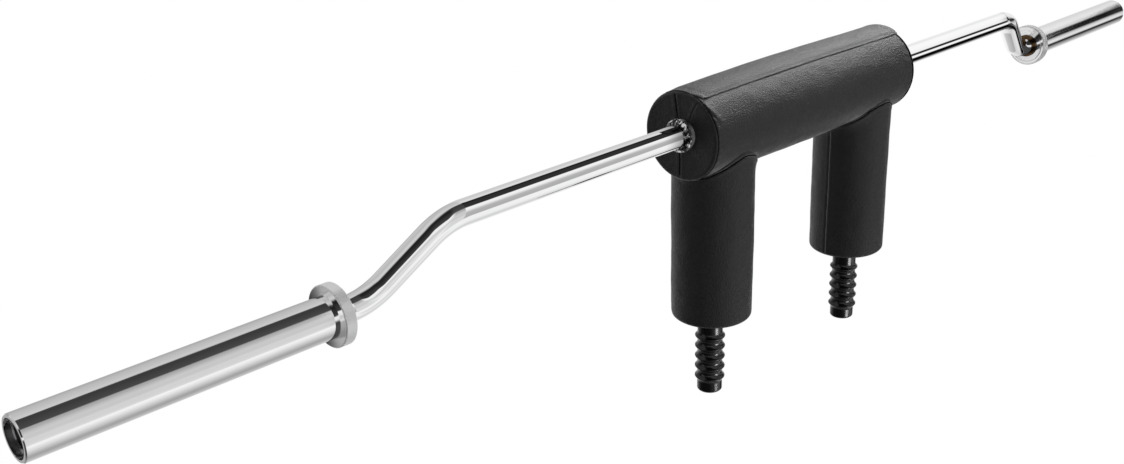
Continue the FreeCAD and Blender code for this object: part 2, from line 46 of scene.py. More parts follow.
lens = bpy.data.cameras.new("camera")
lens.sensor_width = 36
lens.lens = 41.775
lens.shift_x = -0.01027
lens.shift_y = 0.00806
lens.clip_start = 0.05
camera = bpy.data.objects.new("camera", lens)
bpy.context.collection.objects.link(camera)
turn = Matrix((CAMERA_RIGHT, -CAMERA_DOWN, -CAMERA_AHEAD)).transposed().to_4x4()
camera.matrix_world = Matrix.Translation(CAMERA_PLACE) @ turn
bpy.context.scene.camera = camera
bpy.context.scene.view_settings.view_transform = "Standard"


# Studio: a white room with long dark boards beside the bar, which show as stripes in the chrome,
# a soft box for the pads, a small one for the grips, and a pale floor well below the bar.
class Shade:
    """One output of a shader node. Arithmetic on it adds Math nodes, and add() any other node."""

    def __init__(self, tree, node=None, output=0):
        self.tree = tree
        self.node = node
        self.socket = node.outputs[output] if node and node.outputs else None

    def out(self, name):
        return Shade(self.tree, self.node, name)

    def add(self, kind, settings, sockets, output=0):
        """A node of that kind: its settings are set first, then each socket's value or link."""
        node = self.tree.nodes.new(kind)
        for name, value in settings.items():
            if name == "stops":
                marks = node.color_ramp.elements
                while len(marks) < len(value):
                    marks.new(0.5)
                for mark, (place, level) in zip(marks, value):
                    mark.position = place
                    mark.color = (*level, 1) if isinstance(level, tuple) else (level, level, level, 1)
            else:
                setattr(node, name, value)
        for name, value in sockets.items():
            if isinstance(value, Shade):
                self.tree.links.new(value.socket, node.inputs[name])
            else:
                node.inputs[name].default_value = value
        return Shade(self.tree, node, output)

    def maths(self, operation, *values):
        return self.add("ShaderNodeMath", {"operation": operation}, dict(enumerate(values)))

    def __add__(self, other):
        return self.maths("ADD", self, other)

    def __sub__(self, other):
        return self.maths("SUBTRACT", self, other)

    def __rsub__(self, other):
        return self.maths("SUBTRACT", other, self)

    def __mul__(self, other):
        return self.maths("MULTIPLY", self, other)

    def __truediv__(self, other):
        return self.maths("DIVIDE", self, other)

    def ease(self, low, high, start=0.0, end=1.0):
        """start below low and end above high, with a smooth change between."""
        sockets = {"Value": self, "From Min": low, "From Max": high, "To Min": start, "To Max": end}
        return self.add("ShaderNodeMapRange", {"interpolation_type": "SMOOTHSTEP"}, sockets, "Result")

    def blend(self, first, second):
        """A mix of two colours by this mask: sockets 6 and 7 are the Mix node's colours."""
        return self.add("ShaderNodeMix", {"data_type": "RGBA"}, {0: self, 6: first, 7: second}, 2)


# Brightness round the bar's axis: degrees from the front, 90 being straight up.
ROUND_SLEEVE = [
    (-180, 0.44), (-163, 0.48), (-152, 0.80), (-134, 0.72), (-118, 0.57), (-102, 0.49), (-86, 0.39),
    (-78, 0.42), (-70, 0.50), (-53, 0.70), (-37, 0.90), (-27, 1.0), (-22, 0.78), (-13, 0.71), (4, 0.71),
    (11, 0.62), (27, 0.64), (35, 0.57), (43, 0.47), (52, 0.40), (56, 0.07), (92, 0.045), (102, 0.05),
    (106, 0.66), (124, 0.59), (149, 0.53), (165, 0.49), (176, 0.42),
]
ROUND_SHAFT = [
    (-180, 0.66), (-160, 0.74), (-146, 0.98), (-120, 0.85), (-95, 0.70), (-86, 0.66), (-72, 0.80),
    (-55, 0.93), (-23, 0.95), (-17, 0.44), (13, 0.48), (20, 0.60), (34, 0.91), (52, 0.98), (56, 0.03),
    (86, 0.03), (98, 0.01), (105, 0.01), (110, 0.80), (118, 0.77), (142, 0.64), (168, 0.64),
]
ROUND_FAR_SHAFT = [
    (-180, 1.0), (-160, 0.95), (-147, 0.72), (-125, 0.70), (-108, 0.62), (-101, 0.40), (-93, 0.20),
    (-85, 0.06), (-78, 0.01), (-66, 0.0), (-46, 0.0), (-41, 0.06), (-37, 0.45), (-33, 1.0), (-14, 1.0),
    (-10, 0.40), (-7, 0.02), (10, 0.02), (13, 0.20), (16, 0.70), (20, 0.95), (34, 0.95), (60, 1.0),
    (100, 1.0), (120, 0.88), (142, 0.84), (165, 0.95),
]
ROUND_FAR_SLEEVE = [
    (-180, 0.80), (-160, 0.85), (-150, 1.0), (-125, 0.93), (-110, 0.86), (-94, 0.56), (-70, 0.34),
    (-61, 0.17), (-53, 0.05), (-46, 0.01), (-41, 0.02), (-36, 0.35), (-31, 0.75), (-20, 0.82),
    (-6, 0.66), (3, 0.40), (8, 0.10), (12, 0.015), (27, 0.01), (36, 0.006), (46, 0.015), (50, 0.12),
    (54, 0.50), (59, 0.68), (70, 0.76), (92, 0.86), (118, 0.80), (150, 0.72),
]
ROUND_BEND = [
    (-180, 1.0), (-165, 1.0), (-148, 0.68), (-127, 0.66), (-105, 0.67), (-84, 0.76), (-66, 0.90),
    (-50, 0.95), (-36, 0.82), (-23, 0.70), (-14, 0.60), (-5, 0.88), (4, 0.94), (12, 0.94), (15, 0.05),
    (50, 0.025), (76, 0.012), (86, 0.05), (91, 0.42), (100, 0.66), (109, 0.66), (125, 0.52),
    (139, 0.55), (152, 0.60), (164, 0.76), (172, 0.94),
]
ROUND_FAR_BEND = [
    (-180, 0.80), (-148, 0.70), (-133, 0.57), (-105, 0.36), (-90, 0.10), (-78, 0.04), (-68, 0.08),
    (-62, 0.45), (-50, 0.80), (-40, 0.55), (-28, 0.46), (-18, 0.12), (-10, 0.04), (0, 0.02), (10, 0.03),
    (22, 0.10), (36, 0.45), (50, 0.68), (77, 0.88), (165, 0.90),
]

room = bpy.data.worlds.new("studio")
bpy.context.scene.world = room
room.use_nodes = True
room.node_tree.nodes.clear()
air = Shade(room.node_tree)
ray = air.add("ShaderNodeSeparateXYZ", {}, {0: air.add("ShaderNodeTexCoord", {}, {}, "Generated")})
along = ray.out("X")
around = air.maths("ARCTAN2", ray.out("Z"), ray.out("Y") * -1) / (2 * pi) + 0.5


def boards(brightness, turned_by=0.0):
    """The boards as one ramp round the axis; turned_by is a share of a full turn."""
    stops = [((degrees + 180) / 360, level) for degrees, level in brightness]
    return air.add("ShaderNodeValToRGB", {"stops": stops}, {"Fac": around - turned_by})


# The share of a reflected ray that runs along the bar tells which stretch of it the ray comes
# from. Each pair is where the boards of one stretch give way to those of the next.
BEND_TO_SLEEVE = (0.12, 0.27)
SLEEVE_TO_SHAFT = (0.491, 0.496)
NEAR_TO_FAR = (0.74, 0.80)
FAR_SHAFT_TO_SLEEVE = (0.873, 0.879)
FAR_SLEEVE_TO_BEND = (0.908, 0.918)
FAN_START = 0.898
FAN_SLOPE = 19

sleeve_part = along.ease(*SLEEVE_TO_SHAFT, 1.0, 0.0)
near = sleeve_part.blend(boards(ROUND_SHAFT), boards(ROUND_SLEEVE))

# Round the bends the dark stripe turns with the bar, its lower edge by more than its upper one.
above = around.ease(0.667, 0.722)
lower_turn = along.ease(-0.60, -0.30) * 0.058 + along.ease(-0.30, 0.20) * 0.008
lower_turn = (1 - above) * (lower_turn + along.ease(0.02, 0.24) * 0.042)
upper_turn = above * (along.ease(-0.60, -0.35) * 0.013 + along.ease(-0.30, 0.30) * 0.022)
near = along.ease(*BEND_TO_SLEEVE).blend(boards(ROUND_BEND, lower_turn + upper_turn), near)

# The far sleeve's stripe opens like a fan towards its tip.
far = along.ease(*FAR_SHAFT_TO_SLEEVE).blend(boards(ROUND_FAR_SHAFT), boards(ROUND_FAR_SLEEVE))
fan = (around - (along - FAN_START) * FAN_SLOPE).ease(0.650, 0.656, 1.0, 0.0)
fan = fan * around.ease(0.56, 0.60) * along.ease(0.896, 0.899) * along.ease(0.905, 0.907, 1.0, 0.0)
far = fan.blend(far, (0.01, 0.01, 0.01, 1))
far = along.ease(*FAR_SLEEVE_TO_BEND).blend(far, boards(ROUND_FAR_BEND))
walls = along.ease(*NEAR_TO_FAR).blend(near, far)

# The room's left end is dark behind and below the bar, but for what the far end's faces reflect.
low = around.ease(0.44, 0.475, 1.0, 0.0) + around.ease(0.93, 0.98)
left_light = along.ease(-0.70, -0.30, 0.07, 0.42) + along.ease(-0.15, 0.15, 0.0, 0.58)
far_face = along.ease(-0.86, -0.82, 1.0, 0.0) * around.ease(0.10, 0.13, 1.0, 0.0)
walls = (1 - low * (1 - far_face) * (1 - left_light)).blend((0, 0, 0, 1), walls)
seen = air.add("ShaderNodeLightPath", {}, {}, "Is Camera Ray").blend(walls, (1, 1, 1, 1))
light = air.add("ShaderNodeBackground", {}, {"Color": seen, "Strength": 1.0})
air.add("ShaderNodeOutputWorld", {}, {"Surface": light})


def soft_box(name, place, aim, size, watts):
    """A rectangular lamp, out of the camera's sight."""
    lamp = bpy.data.lights.new(name, "AREA")
    lamp.shape = "RECTANGLE"
    lamp.size, lamp.size_y = size
    lamp.energy = watts
    holder = bpy.data.objects.new(name, lamp)
    bpy.context.collection.objects.link(holder)
    holder.location = place
    holder.visible_camera = False
    holder.rotation_mode = "QUATERNION"
    holder.rotation_quaternion = (Vector(aim) - Vector(place)).to_track_quat("-Z", "Y")
    return holder


FLOOR_Z = -1.2

top_box = soft_box("top_box", (1.95, 0.24, 1.48), (0, 0, 0), (1.7, 0.7), 40)
lit = bpy.data.collections.new("lit_by_the_soft_box")
top_box.light_linking.receiver_collection = lit
grip_box = soft_box("grip_box", (0.18, -1.56, -0.98), (0.05, -0.12, -0.40), (0.6, 0.40), 10)
grips_lit = bpy.data.collections.new("lit_by_the_grip_box")
grip_box.light_linking.receiver_collection = grips_lit

bpy.ops.mesh.primitive_plane_add(size=40, location=(0, 0, FLOOR_Z))
floor = bpy.context.object
floor.name = "floor"
pale = bpy.data.materials.new("pale_floor")
pale.use_nodes = True
pale.node_tree.nodes.clear()
paper = Shade(pale.node_tree)
matt = paper.add("ShaderNodeBsdfDiffuse", {}, {"Color": (0.85, 0.85, 0.85, 1)})
bright = paper.add("ShaderNodeEmission", {}, {"Color": (1, 1, 1, 1), "Strength": 1.0})
shown = paper.add("ShaderNodeLightPath", {}, {}, "Is Camera Ray")
paper.add("ShaderNodeOutputMaterial", {},
          {"Surface": paper.add("ShaderNodeMixShader", {}, {0: shown, 1: matt, 2: bright})})
floor.data.materials.append(pale)
floor.visible_glossy = False


# Shaft: one 32 mm steel bar, bent twice at each end and turned down to a spindle inside the
# sleeve, then polished and chromed. Its bends are spun here, and its left half is a mirror copy.
SHAFT_R = 0.016
STRAIGHT_HALF = 0.618
BEND_R = 0.075
BEND_TURN = radians(40)
SLANT = 0.07220
OFFSET_LEAN = radians(18.5)
END_STRAIGHT = 0.009
SPINDLE_R = 0.0125
SPINDLE_LENGTH = 0.3498
SPINDLE_CHAMFER = 0.0015
SPINDLE_END_SHARE = 0.88
SHAFT_COUNT = 96
STRAIGHT_STEPS = 4
BEND_STEPS = 28


class Finish:
    """A material under its own name, with its shader and the place of each point in metres."""

    def __init__(self, name, **constants):
        self.material = bpy.data.materials.new(name)
        self.material.use_nodes = True
        self.tree = self.material.node_tree
        self.shader = self.tree.nodes["Principled BSDF"]
        self.start = Shade(self.tree)
        self.place = self.start.add("ShaderNodeTexCoord", {}, {}, "Object")
        for name, value in constants.items():
            self.shader.inputs[name.replace("_", " ")].default_value = value

    def feed(self, socket, value):
        self.tree.links.new(value.socket, self.shader.inputs[socket])

    def maths(self, operation, *values):
        return self.start.maths(operation, *values)

    def speckle(self, scale, detail=2.0, place=None):
        """Noise from 0 to 1, with that many cells a metre."""
        sockets = {"Vector": place or self.place, "Scale": scale, "Detail": detail}
        return self.start.add("ShaderNodeTexNoise", {}, sockets, "Fac")

    def stretched(self, scale):
        """The point's place scaled along each axis, for patterns with a direction."""
        return self.start.add("ShaderNodeMapping", {}, {"Vector": self.place, "Scale": scale})

    def bumps(self, height, depth, strength=1.0):
        """Raises the surface by a pattern from 0 to 1, depth metres deep."""
        sockets = {"Height": height, "Distance": depth, "Strength": strength}
        self.feed("Normal", self.start.add("ShaderNodeBump", {}, sockets, "Normal"))


def select_none():
    if bpy.context.object and bpy.context.object.mode == "EDIT":
        bpy.ops.object.mode_set(mode="OBJECT")
    bpy.ops.object.select_all(action="DESELECT")


def extrude(x, y, z):
    bpy.ops.mesh.extrude_region_move(TRANSFORM_OT_translate={"value": (x, y, z)})


def finished(piece, name, material, smooth_angle=35):
    """Names a piece, sets its place in its mesh, shades it smooth and gives it its finish."""
    select_none()
    piece.select_set(True)
    bpy.context.view_layer.objects.active = piece
    bpy.ops.object.transform_apply(location=True, rotation=True, scale=True)
    bpy.ops.object.shade_smooth_by_angle(angle=radians(smooth_angle))
    piece.name = name
    piece.data.name = name
    piece.data.materials.clear()
    piece.data.materials.append(material)
    return piece


def closed_and_outward(piece):
    """Merges doubles and turns every face outwards."""
    select_none()
    piece.select_set(True)
    bpy.context.view_layer.objects.active = piece
    bpy.ops.object.mode_set(mode="EDIT")
    bpy.ops.mesh.select_all(action="SELECT")
    bpy.ops.mesh.remove_doubles(threshold=0.00001)
    bpy.ops.mesh.normals_make_consistent(inside=False)
    bpy.ops.object.mode_set(mode="OBJECT")


# Painted reflection: the base colour is painted dark in the last few centimetres before the weld,
# standing in for the dark pad reflected in the shaft there.
chrome = Finish("polished_chrome", Metallic=1.0, Roughness=0.03)
shaft_x = chrome.start.add("ShaderNodeSeparateXYZ", {}, {0: chrome.place}, "X")
painted_pad_reflection = chrome.maths("ABSOLUTE", shaft_x).ease(0.243, 0.290, 1.0, 0.0)
plain_plating = chrome.speckle(9).blend((0.90, 0.905, 0.91, 1), (0.96, 0.96, 0.96, 1))
chrome.feed("Base Color", (painted_pad_reflection * 0.75).blend(plain_plating, (0.10, 0.10, 0.10, 1)))
chrome.feed("Roughness", chrome.speckle(60, 4).ease(0.35, 0.75, 0.01, 0.04))
chrome.bumps(chrome.speckle(900), 0.000002)

lean = Vector((0, sin(OFFSET_LEAN), -cos(OFFSET_LEAN)))
spin_axis = Vector((1, 0, 0)).cross(lean)
bend_start = Vector((STRAIGHT_HALF, 0, 0))
bend_end = bend_start + Vector((BEND_R * sin(BEND_TURN), 0, 0)) + lean * BEND_R * (1 - cos(BEND_TURN))
slant = (Vector((cos(BEND_TURN), 0, 0)) + lean * sin(BEND_TURN)) * SLANT
second_centre = bend_end + slant + (Vector((sin(BEND_TURN), 0, 0)) - lean * cos(BEND_TURN)) * BEND_R

select_none()
bpy.ops.mesh.primitive_circle_add(vertices=SHAFT_COUNT, radius=SHAFT_R, rotation=(0, radians(90), 0))
shaft = bpy.context.object
bpy.ops.object.transform_apply(location=True, rotation=True, scale=True)
bpy.ops.object.mode_set(mode="EDIT")
bpy.ops.mesh.select_all(action="SELECT")
for _ in range(STRAIGHT_STEPS):
    extrude(STRAIGHT_HALF / STRAIGHT_STEPS, 0, 0)
first_centre = bend_start + lean * BEND_R
bpy.ops.mesh.spin(steps=BEND_STEPS, angle=-BEND_TURN, center=first_centre, axis=spin_axis)
extrude(*slant)
bpy.ops.mesh.spin(steps=BEND_STEPS, angle=BEND_TURN, center=second_centre, axis=spin_axis)
extrude(END_STRAIGHT, 0, 0)
extrude(0, 0, 0)
bpy.ops.transform.resize(value=(1, SPINDLE_R / SHAFT_R, SPINDLE_R / SHAFT_R))
extrude(SPINDLE_LENGTH, 0, 0)
extrude(SPINDLE_CHAMFER, 0, 0)
bpy.ops.transform.resize(value=(1, SPINDLE_END_SHARE, SPINDLE_END_SHARE))
bpy.ops.mesh.edge_face_add()
bpy.ops.object.mode_set(mode="OBJECT")
mirror = shaft.modifiers.new("left_half", "MIRROR")
mirror.use_axis = (True, False, False)
bpy.ops.object.modifier_apply(modifier=mirror.name)
closed_and_outward(shaft)
finished(shaft, "bent_shaft", chrome.material)
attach(shaft, "frame")
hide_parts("shaft")


# Yoke welds: the beads laid round the shaft where the yoke tube ends, at both ends of the roll.
# Each is filler metal in overlapping ripples, left as welded and chromed with the shaft.
BEAD_START_X = 0.2390
BEAD_START_R = 0.0218
BEAD_LOOPS = [
    (0.2405, 0.0228), (0.2424, 0.0231), (0.2442, 0.0220), (0.2458, 0.0198), (0.2466, 0.0172),
    (0.2466, 0.0158),
]
BEAD_RIPPLES = 28
RIPPLE_SLANT = 90
RIPPLE_GROOVE = 0.3


def mirrored(piece, name):
    """A copy of a left-hand piece for the right-hand side, with its own mesh."""
    select_none()
    piece.select_set(True)
    bpy.context.view_layer.objects.active = piece
    bpy.ops.object.duplicate()
    copy = bpy.context.object
    bpy.ops.transform.resize(value=(-1, 1, 1), center_override=(0, 0, 0))
    bpy.ops.object.transform_apply(location=False, rotation=False, scale=True)
    closed_and_outward(copy)
    copy.name = name
    copy.data.name = name
    return copy


select_none()
bpy.ops.mesh.primitive_circle_add(vertices=BEAD_RIPPLES * 4, radius=BEAD_START_R,
                                  location=(-BEAD_START_X, 0, 0), rotation=(0, radians(90), 0))
bead = bpy.context.object
bpy.ops.object.transform_apply(location=True, rotation=True, scale=True)
bpy.ops.object.mode_set(mode="EDIT")
bpy.ops.mesh.select_all(action="SELECT")
bead_x, bead_r = BEAD_START_X, BEAD_START_R
for x, r in BEAD_LOOPS:
    extrude(bead_x - x, 0, 0)
    bpy.ops.transform.resize(value=(1, r / bead_r, r / bead_r))
    bead_x, bead_r = x, r
bpy.ops.object.mode_set(mode="OBJECT")
for corner in bead.data.vertices:
    x, y, z = abs(corner.co.x), corner.co.y, corner.co.z
    place = (atan2(z, y) / (2 * pi) * BEAD_RIPPLES + (x - BEAD_START_X) * RIPPLE_SLANT) % 1
    corner.select = place < RIPPLE_GROOVE and x > 0.2395 and hypot(y, z) > 0.0165
bpy.ops.object.mode_set(mode="EDIT")
bpy.ops.transform.resize(value=(1, 0.978, 0.978), center_override=(-0.2425, 0, 0))
bpy.ops.mesh.select_all(action="SELECT")
bpy.ops.transform.vertex_random(offset=0.00018, uniform=0.3, normal=0.6, seed=5)
bpy.ops.object.mode_set(mode="OBJECT")
rounding = bead.modifiers.new("rounding", "SUBSURF")
rounding.levels = rounding.render_levels = 1
bpy.ops.object.modifier_apply(modifier=rounding.name)

weld_chrome = Finish("chromed_weld", Metallic=1.0)
# Painted reflection: the base colour is patched near black and near white, standing in for the dark
# reflections and white glints on the chromed bead.
painted_reflection_marks = weld_chrome.speckle(170, 2).ease(0.50, 0.60)
weld_chrome.feed("Base Color", painted_reflection_marks.blend((0.03, 0.03, 0.03, 1), (0.97, 0.97, 0.97, 1)))
weld_chrome.feed("Roughness", weld_chrome.speckle(300, 2).ease(0.3, 0.7, 0.02, 0.08))
weld_chrome.bumps(weld_chrome.speckle(150, 2), 0.0060)
closed_and_outward(bead)
finished(bead, "left_weld_bead", weld_chrome.material, 60)
other_bead = mirrored(bead, "right_weld_bead")
for piece, node in ((bead, "left_yoke_weld"), (other_bead, "right_yoke_weld")):
    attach(piece, "frame")
    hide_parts(node)


# Roll: one moulded foam roll in a sewn cover of grained black vinyl, drawn tight over the yoke.
# The cover is swollen by a cloth simulation; its seams and folds are pressed in after that.
ROLL_Y = -0.0005
ROLL_Z = -0.0022
ROLL_HALF = 0.2375
ROLL_MID_R = 0.0653
ROLL_END_R = 0.0614
ROLL_SEAM_X = 0.2324
ROLL_WALL_HALF = 0.2300
ROLL_COUNT = 180
ROLL_ROWS = 150
ROLL_TUCK = ((0, 0.014), (0, 0.0026), (0.0002, 0.0014), (0.0008, 0.0005), (0.0018, 0.0001))
ARM_X = 0.17
ARM_R = 0.0583
NECK_FLARE = 0.0052


def ease(value, low, high):
    """0 below low and 1 above high, with a smooth change between; low may be the larger."""
    t = min(1.0, max(0.0, (value - low) / (high - low)))
    return t * t * (3 - 2 * t)


def ridge(distance, width):
    """1 on a line and next to nothing at twice the width from it."""
    return exp(-(distance / width) ** 2)


def roll_radius(x, angle):
    """The cover's radius before its seams. The left end bulges a little at the back."""
    crown = ROLL_MID_R - (ROLL_MID_R - ROLL_END_R) * (x / ROLL_HALF) ** 2 * ease(-x, -0.5, 0.1)
    return crown + 0.0020 * max(0.0, -cos(angle)) ** 2 * ease(-x, 0.15, 0.235)


def on_roll(x, angle, lift):
    """A point that far above the roll's cover. The angle is 0 at the front, a quarter turn on top."""
    r = roll_radius(x, angle) + lift
    return (x, ROLL_Y - r * cos(angle), ROLL_Z + r * sin(angle))


def roll_ring(x, lift, count):
    return [on_roll(x, 2 * pi * i / count, lift) for i in range(count)]


def skin(name, rings, close_ends=True):
    """A mesh through rings of equally many points, with a cap on its first and last ring."""
    count = len(rings[0])
    faces = []
    for row in range(len(rings) - 1):
        for i in range(count):
            j = (i + 1) % count
            here, there = row * count, (row + 1) * count
            faces.append((here + i, here + j, there + j, there + i))
    if close_ends:
        faces.append(tuple(reversed(range(count))))
        faces.append(tuple(range((len(rings) - 1) * count, len(rings) * count)))
    mesh = bpy.data.meshes.new(name)
    mesh.from_pydata([point for ring in rings for point in ring], [], faces)
    piece = bpy.data.objects.new(name, mesh)
    bpy.context.collection.objects.link(piece)
    closed_and_outward(piece)
    return piece


SWELL_PRESSURE = 4
SWELL_FRAMES = 20


def swell(piece, cap, held):
    """Blows a cover up against its sewn edges as cloth, with no point moving further than the cap.
    held says how firmly each point is sewn down, from 0 to 1."""
    start = [corner.co.copy() for corner in piece.data.vertices]
    pins = piece.vertex_groups.new(name="sewn")
    for corner in piece.data.vertices:
        pins.add([corner.index], held(corner.co), "REPLACE")
    cloth = piece.modifiers.new("swell", "CLOTH")
    cloth.settings.use_pressure = True
    cloth.settings.uniform_pressure_force = SWELL_PRESSURE
    cloth.settings.effector_weights.gravity = 0
    cloth.settings.vertex_group_mass = pins.name
    cloth.point_cache.frame_start = 1
    cloth.point_cache.frame_end = SWELL_FRAMES
    for frame_number in range(1, SWELL_FRAMES + 1):
        bpy.context.scene.frame_set(frame_number)
    seen_mesh = piece.evaluated_get(bpy.context.evaluated_depsgraph_get()).data
    swollen = [corner.co.copy() for corner in seen_mesh.vertices]
    piece.modifiers.remove(cloth)
    piece.vertex_groups.clear()
    bpy.context.scene.frame_set(1)
    for corner, first, last in zip(piece.data.vertices, start, swollen):
        move = last - first
        if move.length > cap:
            move *= cap / move.length
        corner.co = first + move
    select_none()
    piece.select_set(True)
    bpy.context.view_layer.objects.active = piece
    smoothing = piece.modifiers.new("smoothing", "SUBSURF")
    smoothing.levels = smoothing.render_levels = 1
    bpy.ops.object.modifier_apply(modifier=smoothing.name)
    bpy.ops.object.mode_set(mode="EDIT")
    bpy.ops.mesh.select_all(action="SELECT")
    bpy.ops.mesh.fill_holes(sides=0)
    bpy.ops.mesh.select_all(action="SELECT")
    bpy.ops.mesh.normals_make_consistent(inside=False)
    bpy.ops.object.mode_set(mode="OBJECT")


rings = [roll_ring(-ROLL_SEAM_X + inset, -dip, ROLL_COUNT) for inset, dip in ROLL_TUCK]
for k in range(ROLL_ROWS + 1):
    rings.append(roll_ring(-ROLL_WALL_HALF + 2 * ROLL_WALL_HALF * k / ROLL_ROWS, 0, ROLL_COUNT))
rings += [roll_ring(ROLL_SEAM_X - inset, -dip, ROLL_COUNT) for inset, dip in reversed(ROLL_TUCK)]
roll = skin("roll_cover_skin", rings, close_ends=False)


def arm_wall_distance(x, y):
    """How far a point is from the outside of the nearer arm pad, seen from below."""
    return hypot(abs(x) - ARM_X, y) - ARM_R


def neck_side(x, y):
    """1 on the sides of the arm pads that face the neck, 0 on their far sides."""
    return ease(abs(atan2(y, ARM_X - abs(x))), 1.35, 0.35)


def roll_held(place):
    """The cover is sewn down along its ends and round the tops of the arms."""
    end = ease(abs(place.x), 0.2215, 0.2300)
    saddle = ridge(arm_wall_distance(place.x, place.y), 0.004) if place.z < ROLL_Z else 0.0
    return max(end, saddle)


ROLL_SWELL = 0.0012
swell(roll, ROLL_SWELL, roll_held)
FOLD_START = (-0.2343, radians(52))
FOLD_END = (-0.2248, radians(32))
TUCKED_R = 0.057
FLAP_EDGE_ANGLE = radians(63.2)
for corner in roll.data.vertices:
    x, y, z = corner.co.x, corner.co.y - ROLL_Y, corner.co.z - ROLL_Z
    r = hypot(y, z)
    if r < TUCKED_R:
        continue
    angle = atan2(z, -y)
    lift = 0.0006 * noise.noise(Vector((x * 14, angle * 1.6, 3.0)))
    lift += 0.0004 * noise.noise(Vector((x * 45, cos(angle) * 4, sin(angle) * 4)))

    # The arms' tops press into its underside, on the sides that face the neck.
    if z < 0:
        facing_neck = neck_side(x, corner.co.y)
        off_seam = arm_wall_distance(x, corner.co.y) - NECK_FLARE * facing_neck
        lift -= 0.0024 * ridge(off_seam, 0.0022) * ease(facing_neck, 0.05, 0.3)

    # The flap's front edge presses a shallow groove into it.
    flap_edge = (angle - FLAP_EDGE_ANGLE) * 0.063
    lift -= 0.0003 * ridge(flap_edge, 0.0022) * ease(abs(x), 0.236, 0.228)

    # A fold runs aslant from the left end's seam, and both ends pucker along their seams.
    along_fold = (angle - FOLD_START[1]) / (FOLD_END[1] - FOLD_START[1])
    off_fold = x - (FOLD_START[0] + (FOLD_END[0] - FOLD_START[0]) * along_fold)
    fold = ease(along_fold, -0.3, 0.1) * ease(along_fold, 1.5, 0.9)
    lift += fold * 0.0011 * ridge(off_fold - 0.0020, 0.0050)
    lift -= fold * 0.0009 * ridge(off_fold + 0.0035, 0.0020)
    pucker = ease(abs(x), 0.218, 0.232)
    lift += 0.0003 * pucker * sin(angle * 37 + 2 * sin(angle * 5))
    corner.co.y = ROLL_Y + y * (r + lift) / r
    corner.co.z = ROLL_Z + z * (r + lift) / r

vinyl = Finish("grained_vinyl", Roughness=0.40, IOR=1.5)
vinyl.feed("Base Color",
           vinyl.speckle(35, 3).blend((0.0045, 0.0045, 0.0047, 1), (0.0070, 0.0070, 0.0072, 1)))
vinyl.feed("Roughness", vinyl.speckle(220, 3).ease(0.3, 0.7, 0.36, 0.46))
pebbles = vinyl.start.add("ShaderNodeTexVoronoi", {"feature": "SMOOTH_F1"},
                          {"Vector": vinyl.place, "Scale": 520.0, "Smoothness": 0.4}, "Distance")
vinyl.bumps(pebbles * 0.6 + vinyl.speckle(900, 2) * 0.4, 0.0012, 1.0)
finished(roll, "roll_pad", vinyl.material, 60)
lit.objects.link(roll)
roll.visible_glossy = False
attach(roll, "frame")
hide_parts("roll_cover", "roll_foam")


# End panels: two half discs of the same vinyl a side, sewn to each other down the middle and to
# the cover just round the roll's edge, with a hole that the yoke comes out of.
PANEL_EDGE = 0.0045
PANEL_EDGE_DEPTH = 0.0032
PANEL_COUNT = 420
PANEL_STEPS = 48
PANEL_HOLE_R = 0.0240
PANEL_HOLLOW = 0.0026
PANEL_TUCK = ((0.0054, -0.0038), (0.0044, -0.0026), (0.0037, -0.0016), (0.0033, -0.0007))
PANEL_HOLE_EDGE = ((0.0026, 0.0234), (0.0034, 0.0229), (0.0060, 0.0227), (0.0078, 0.0240),
                   (0.0078, 0.0560))
CENTRE_SEAM_Y = 0.0052
CENTRE_SEAM_SLOPE = 0.08
CREASE_Y = -0.0139
CREASE_LOW_Z = 0.0218
CREASE_HIGH_Z = 0.0485


def panel_sunk(side, y, z):
    """How far the vinyl lies below its even face: a swell by the centre seam, hollows, a crease."""
    off_seam = y - CENTRE_SEAM_Y - CENTRE_SEAM_SLOPE * z
    sunk = -0.0004 * ridge(abs(off_seam) - 0.0042, 0.0030)
    sunk += 0.0009 * noise.noise(Vector((side * 5.0, y * 28, z * 28)))
    sunk += 0.0003 * noise.noise(Vector((side * 9.0, y * 90, z * 90)))
    along_crease = (z - CREASE_LOW_Z) / (CREASE_HIGH_Z - CREASE_LOW_Z)
    off_crease = y - CREASE_Y + 0.0141 * along_crease - 0.0014 * sin(pi * along_crease)
    shown = ease(along_crease, -0.3, 0.1) * ease(along_crease, 1.25, 0.9)
    sunk += shown * (0.0007 * ridge(off_crease, 0.0012) - 0.0005 * ridge(off_crease - 0.003, 0.0025))
    return sunk * (0.35 + 0.65 * ease(hypot(y - ROLL_Y, z - ROLL_Z), 0.062, 0.057))


def panel_skin(side):
    """Its rings run from under the cover over the rounded edge, in to the hole and back inside."""
    profile = list(PANEL_TUCK)
    for step in range(7):
        t = pi / 2 * step / 6
        profile.append((PANEL_EDGE_DEPTH * (1 - sin(t)), -PANEL_EDGE * (1 - cos(t))))
    rings = [roll_ring(side * (ROLL_HALF - inset), drop, PANEL_COUNT) for inset, drop in profile]
    for step in range(1, PANEL_STEPS + 1):
        share = step / PANEL_STEPS
        ring = []
        for i in range(PANEL_COUNT):
            angle = 2 * pi * i / PANEL_COUNT
            rim = roll_radius(side * ROLL_HALF, angle) - PANEL_EDGE
            r = rim + (PANEL_HOLE_R - rim) * share
            inset = PANEL_HOLLOW * (1 - (r / rim) ** 2)
            ring.append((side * (ROLL_HALF - inset), ROLL_Y * (1 - share) - r * cos(angle),
                         ROLL_Z * (1 - share) + r * sin(angle)))
        rings.append(ring)
    for inset, r in PANEL_HOLE_EDGE:
        rings.append([(side * (ROLL_HALF - inset), -r * cos(2 * pi * i / PANEL_COUNT),
                       r * sin(2 * pi * i / PANEL_COUNT)) for i in range(PANEL_COUNT)])
    rings.append(rings[0])
    panel = skin("panel", rings, close_ends=False)
    for corner in panel.data.vertices:
        if abs(corner.co.x) > ROLL_HALF - 0.0045:
            corner.co.x -= side * panel_sunk(side, corner.co.y, corner.co.z)
    finished(panel, ("left" if side < 0 else "right") + "_end_panel_skin", vinyl.material, 60)
    return panel


